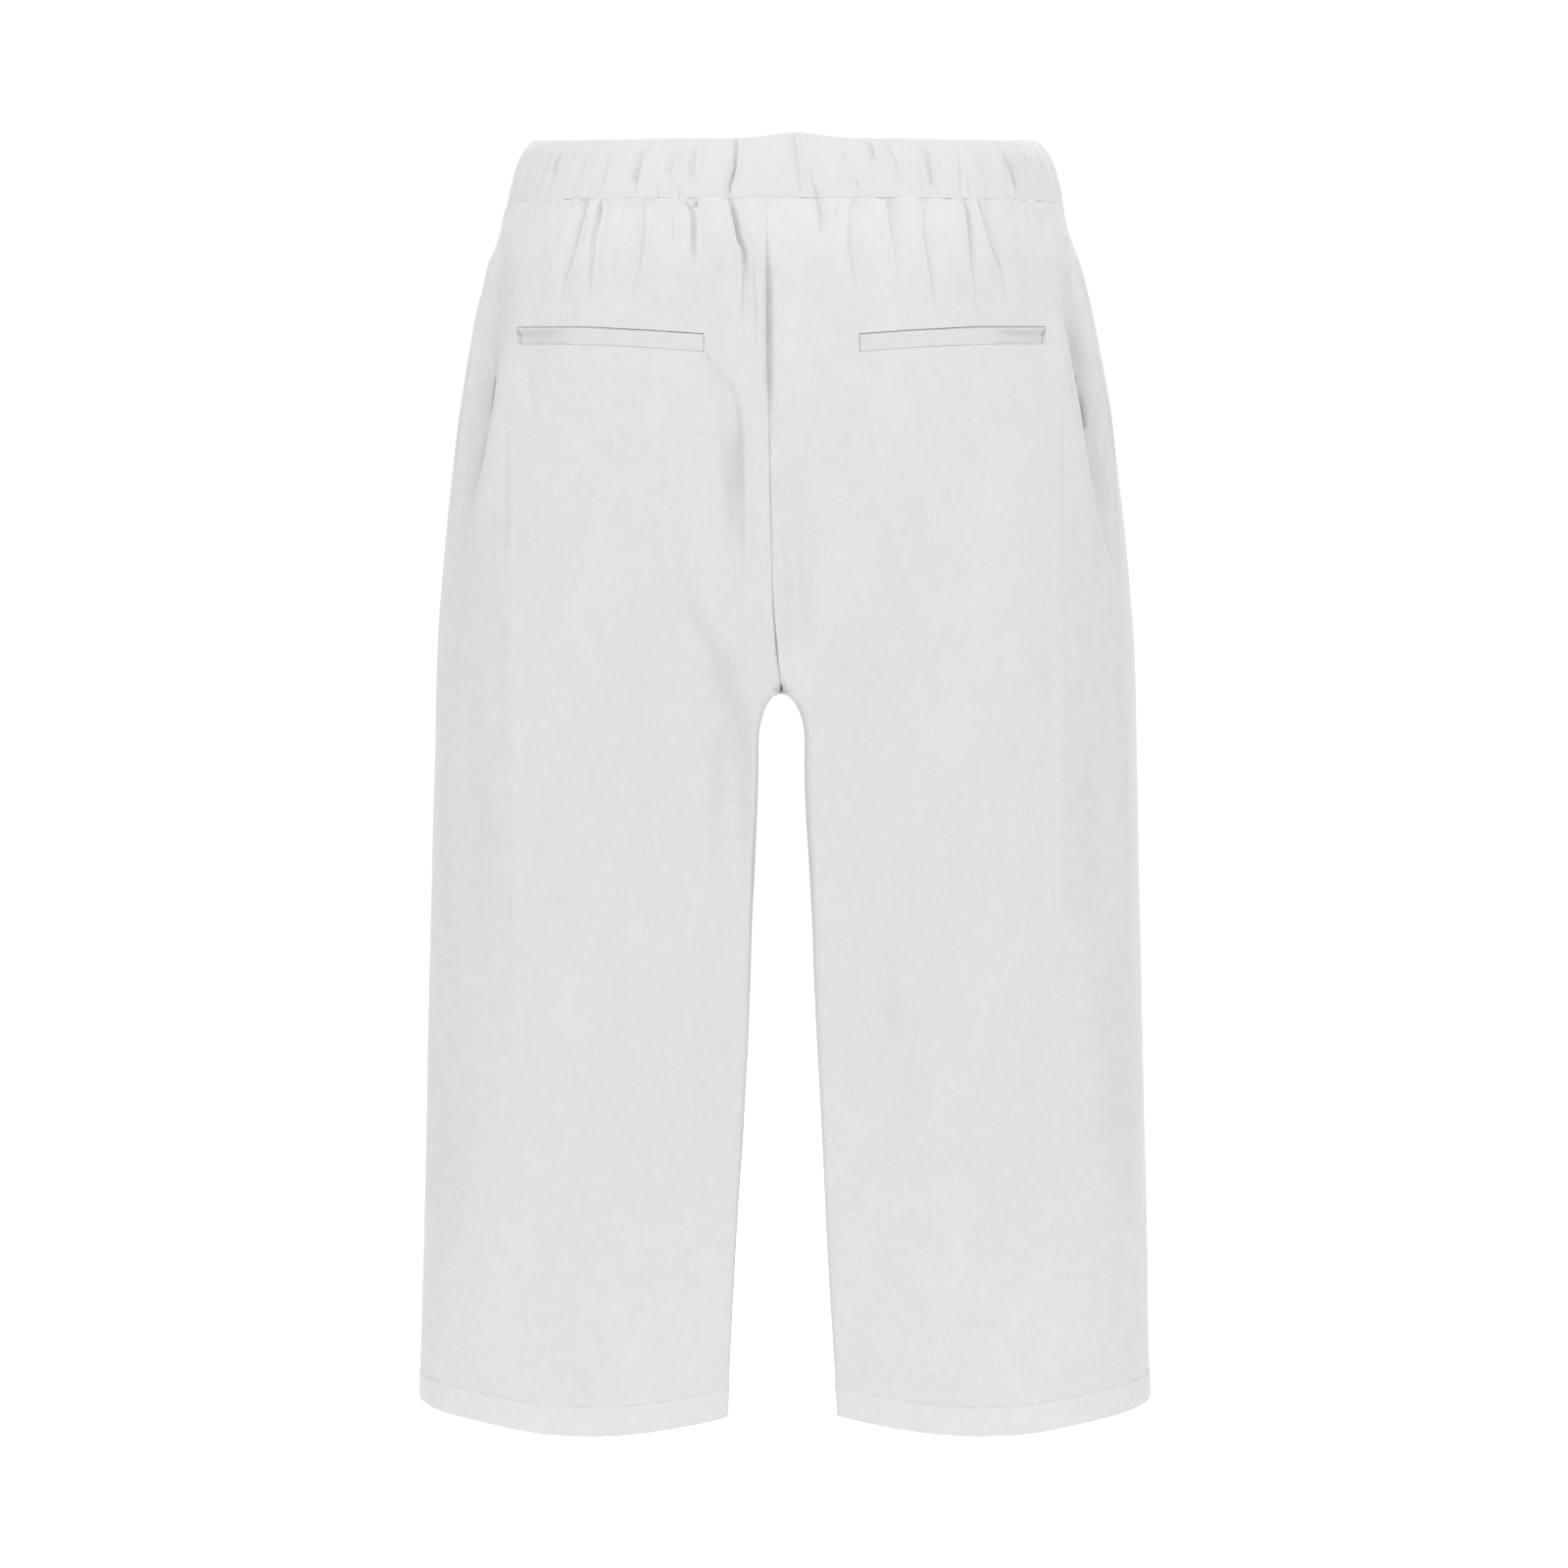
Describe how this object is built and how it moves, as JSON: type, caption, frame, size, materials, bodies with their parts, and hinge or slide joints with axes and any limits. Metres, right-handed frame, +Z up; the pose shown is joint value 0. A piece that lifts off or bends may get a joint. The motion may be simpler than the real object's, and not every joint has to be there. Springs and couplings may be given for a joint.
{
  "type": "capri pants",
  "caption": "White linen-look capri pants, filled out as worn: gathered elastic waistband, wide straight legs, welt pockets at the back and plain hems.",
  "frame": {"origin": "centre of the waistband ring at its mid-height, where the wearer's waist holds it", "axes": "+Z up, towards the waistband's open top; -Y the front, +Y the back with the pockets; +X the wearer's left"},
  "size_m": [0.4396, 0.2578, 0.7678],
  "materials": {
    "linen": "matt woven linen with slubs"
  },
  "bodies": {
    "root": {"waistband": "linen", "back_left": "linen", "back_right": "linen", "front_left": "linen", "front_right": "linen", "welt_left": "linen", "welt_right": "linen"}
  },
  "joints": []
}
